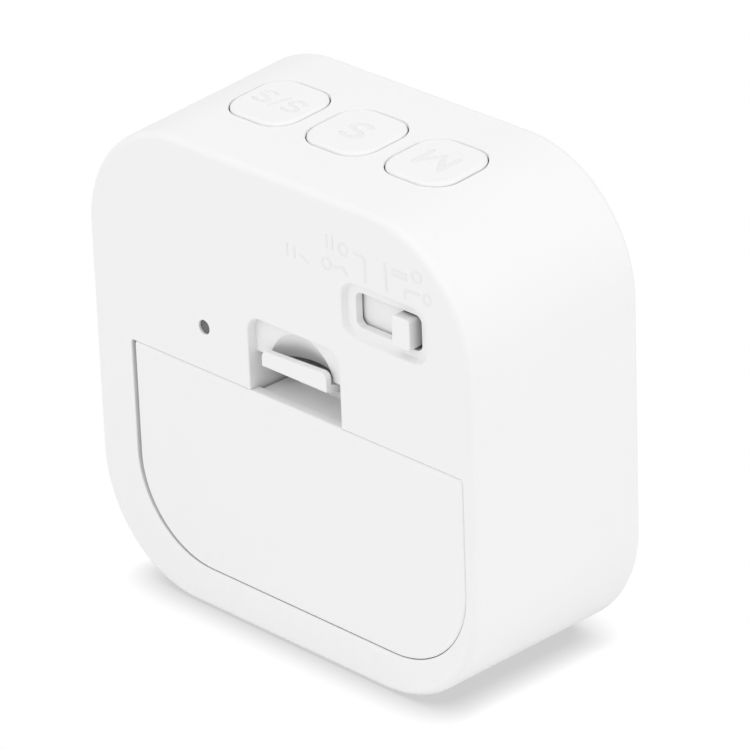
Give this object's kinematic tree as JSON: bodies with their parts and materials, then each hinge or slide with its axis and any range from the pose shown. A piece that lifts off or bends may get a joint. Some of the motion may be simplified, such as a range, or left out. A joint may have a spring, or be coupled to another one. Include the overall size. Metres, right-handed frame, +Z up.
{
  "type": "digital kitchen timer",
  "caption": "Free-standing digital countdown timer in a rounded square white case, with top keys, a rear slide switch, a sound hole and a latched battery door.",
  "frame": {"origin": "centre of the flat underside, midway between the front and back planes", "axes": "+Z up, -Y out of the display, +Y out of the battery door, +X to the right seen from the front"},
  "size_m": [0.0748, 0.0311, 0.0719],
  "materials": {
    "white_plastic": "fine satin moulded",
    "clear_window": "polished, tinted",
    "black_tape": "matt adhesive foam",
    "lcd_glass": "reflective liquid crystal",
    "grey_rubber": "striped silicone",
    "green_board": "solder resist",
    "steel": "plated",
    "black_plastic": "moulded",
    "ribbon_film": "film",
    "red_lead": "wire insulation",
    "nickel_plate": "nickel plated",
    "cell_jacket": null
  },
  "bodies": {
    "case": {"main_housing": "white_plastic", "front_bezel": "white_plastic", "display_window": "clear_window", "window_tape": "black_tape", "lcd_panel": "lcd_glass", "lcd_reflector": "white_plastic", "zebra_connector": "grey_rubber", "lcd_holder": "white_plastic", "main_board": "green_board", "main_board_screw_1": "steel", "main_board_screw_2": "steel", "main_board_screw_3": "steel", "main_board_screw_4": "steel", "controller_chip": "black_plastic", "clock_crystal": "steel", "minute_switch": "black_plastic", "second_switch": "black_plastic", "start_stop_switch": "black_plastic", "key_board": "green_board", "key_board_screw_left": "steel", "key_board_screw_right": "steel", "key_board_ribbon": "ribbon_film", "slide_switch_body": "steel", "switch_board": "green_board", "switch_board_screw_left": "steel", "switch_board_screw_right": "steel", "switch_ribbon": "ribbon_film", "buzzer": "black_plastic", "buzzer_lead_1": "red_lead", "buzzer_lead_2": "black_plastic", "negative_contact": "nickel_plate", "positive_contact": "nickel_plate", "bridge_contact": "nickel_plate", "aaa_cell_upper": "cell_jacket", "cell_spring_upper": "nickel_plate", "aaa_cell_lower": "cell_jacket", "cell_spring_lower": "nickel_plate"},
    "minute_key": {"minute_key": "white_plastic", "minute_plunger": "black_plastic"},
    "second_key": {"second_key": "white_plastic", "second_plunger": "black_plastic"},
    "start_stop_key": {"start_stop_key": "white_plastic", "start_stop_plunger": "black_plastic"},
    "mode_slider": {"mode_slider": "white_plastic", "slide_switch_lever": "black_plastic"},
    "battery_door": {"battery_door": "white_plastic"},
    "door_latch": {"door_latch": "white_plastic"}
  },
  "joints": [
    {"name": "minute_press", "type": "slide", "parent": "case", "child": "minute_key", "axis": [0, 0, -1], "range_m": [0, 0.0008], "stiffness_N_per_m": 1500},
    {"name": "second_press", "type": "slide", "parent": "case", "child": "second_key", "axis": [0, 0, -1], "range_m": [0, 0.0008], "stiffness_N_per_m": 1500},
    {"name": "start_stop_press", "type": "slide", "parent": "case", "child": "start_stop_key", "axis": [0, 0, -1], "range_m": [0, 0.0008], "stiffness_N_per_m": 1500},
    {"name": "mode_slide", "type": "slide", "parent": "case", "child": "mode_slider", "axis": [1, 0, 0], "range_m": [0, 0.0072]},
    {"name": "battery_door_tilt", "type": "hinge", "parent": "case", "child": "battery_door", "pos_m": [-0.00273, 0.0153, 0.0066], "axis": [-1, 0, 0], "range_deg": [0, 70]},
    {"name": "latch_press", "type": "hinge", "parent": "battery_door", "child": "door_latch", "pos_m": [-0.00335, 0.00805, 0.0396], "axis": [-1, 0, 0], "range_deg": [0, 11], "stiffness_Nm_per_rad": 0.1}
  ]
}
